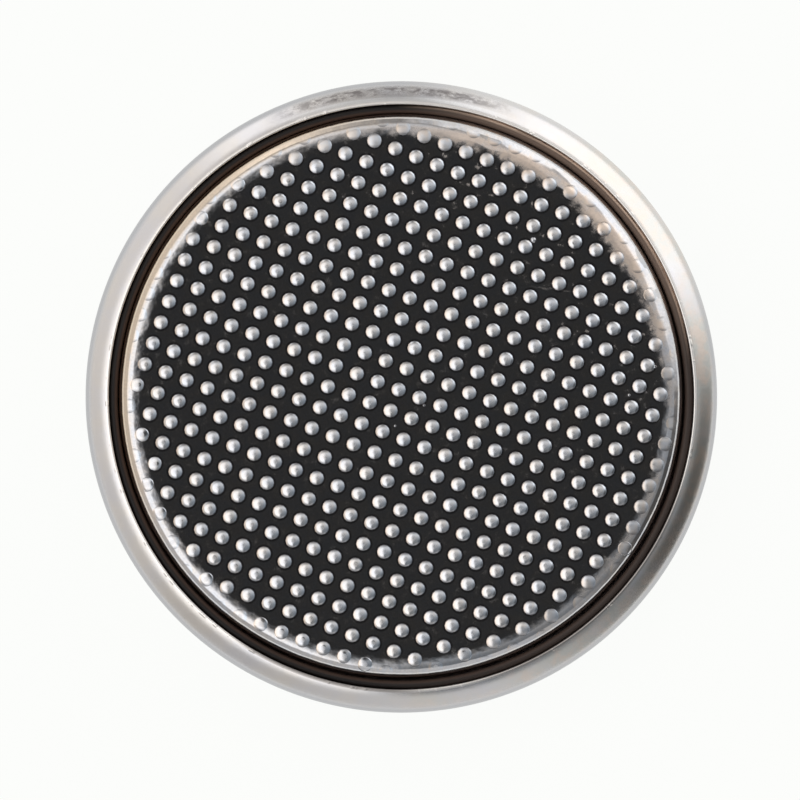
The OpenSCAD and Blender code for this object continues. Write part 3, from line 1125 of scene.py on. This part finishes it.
def by_angle(angle, reach, stops):
    """A colour for each angle, from stops of degrees and a colour, over -reach to +reach."""
    node = add_node(room, "ShaderNodeMapRange")
    room.links.new(angle, node.inputs["Value"])
    node.inputs["From Min"].default_value = -math.radians(reach)
    node.inputs["From Max"].default_value = math.radians(reach)
    ramp = add_node(room, "ShaderNodeValToRGB")
    places = sorted(((deg + reach) / (2 * reach), colour) for deg, colour in stops)
    ends = ramp.color_ramp.elements
    ends[0].position, ends[0].color = places[0][0], (*places[0][1], 1)
    ends[1].position, ends[1].color = places[-1][0], (*places[-1][1], 1)
    for position, colour in places[1:-1]:
        ends.new(position).color = (*colour, 1)
    room.links.new(node.outputs[0], ramp.inputs["Fac"])
    return ramp.outputs["Color"]


def grey(level, warm=0.0):
    """A grey of that radiance, leaning warm or cool."""
    return (level * (1 + warm), level, level * (1 - warm))


tell(room, "room")

# %% [markdown]
# Each part of the room is a row of stops, an angle and a grey, with soft changes between them. The
# overhead part shows in the flat and the dots, and the walls show where the steel is steep.

# %% Studio: the light on the left and the grey right
left = by_angle(depth, 90, [
    (-75, grey(0.9)), (-58, grey(1.2)), (-45, grey(1.42)), (5, grey(1.42, 0.01)),
    (28, grey(1.24, 0.02)), (38, grey(0.95, 0.03)), (50, grey(0.5, 0.03)), (64, grey(0.3, 0.05)),
])
right = by_angle(depth, 90, [
    (-62, grey(0.22, -0.06)), (-35, grey(0.25, -0.06)), (-14, grey(0.34, -0.05)),
    (0, grey(0.46, -0.03)), (14, grey(0.6)), (28, grey(0.74)), (40, grey(0.74)),
    (50, grey(0.5, 0.02)), (64, grey(0.3, 0.04)),
])
to_the_left = soft_step(room, side, math.radians(4), math.radians(-18))
overhead = blend_colour(room, to_the_left, right, left)
tell(room, "room")

# %% Studio: the walls and the lens
walls = by_angle(compass, 180, [
    (-180, grey(0.72, 0.03)), (-150, grey(0.62, 0.03)), (-135, grey(0.5, 0.03)),
    (-120, grey(0.5, 0.02)), (-90, grey(0.66)), (-68, grey(0.68)), (-50, grey(0.38)),
    (-32, grey(0.1, 0.03)), (-14, grey(0.1, 0.03)), (0, grey(0.24, 0.03)),
    (14, grey(0.95)), (25, grey(1.45)), (64, grey(1.5)), (77, grey(0.95)), (90, grey(0.3)),
    (103, grey(0.66)), (118, grey(1.35, 0.02)), (135, grey(0.88, 0.03)), (180, grey(0.72, 0.03)),
])


def down_from_top(start, stop):
    """0 and 1 at two angles measured down from straight above, and a soft S between them."""
    return soft_step(
        room, split.outputs["Z"], math.cos(math.radians(start)), math.cos(math.radians(stop))
    )


surround = blend_colour(room, down_from_top(54, 63), overhead, walls)
lens = down_from_top(13, 3)
room_colour = blend_colour(room, lens, surround, grey(0.035))
room.links.new(room_colour, sky.inputs["Color"])
sky.inputs["Strength"].default_value = 1.0
tell(room, "room")

# %% [markdown]
# The camera looks straight down from half a metre, through a long lens, so that the wall of the
# can doesn't show. The frame is 800 steps wide, and the lens is worked out so that a millimetre
# near the top of the crimp takes 31.56 of them.

# %% Studio: camera straight above
camera_x, camera_y, camera_height = -0.042, -0.097, 500
scale_height = 1.78
frame_width, frame_per_mm = 800, 31.56
camera_data = bpy.data.cameras.new("camera")
camera = bpy.data.objects.new("camera", camera_data)
bpy.context.scene.collection.objects.link(camera)
camera.location = (camera_x * MM, camera_y * MM, camera_height * MM)
camera_data.sensor_width = 36
camera_data.lens = (
    frame_per_mm * (camera_height - scale_height) / frame_width * camera_data.sensor_width
)
bpy.context.scene.camera = camera
bpy.context.scene.view_settings.view_transform = "Standard"
print("the camera's lens is", round(camera_data.lens), "mm long")
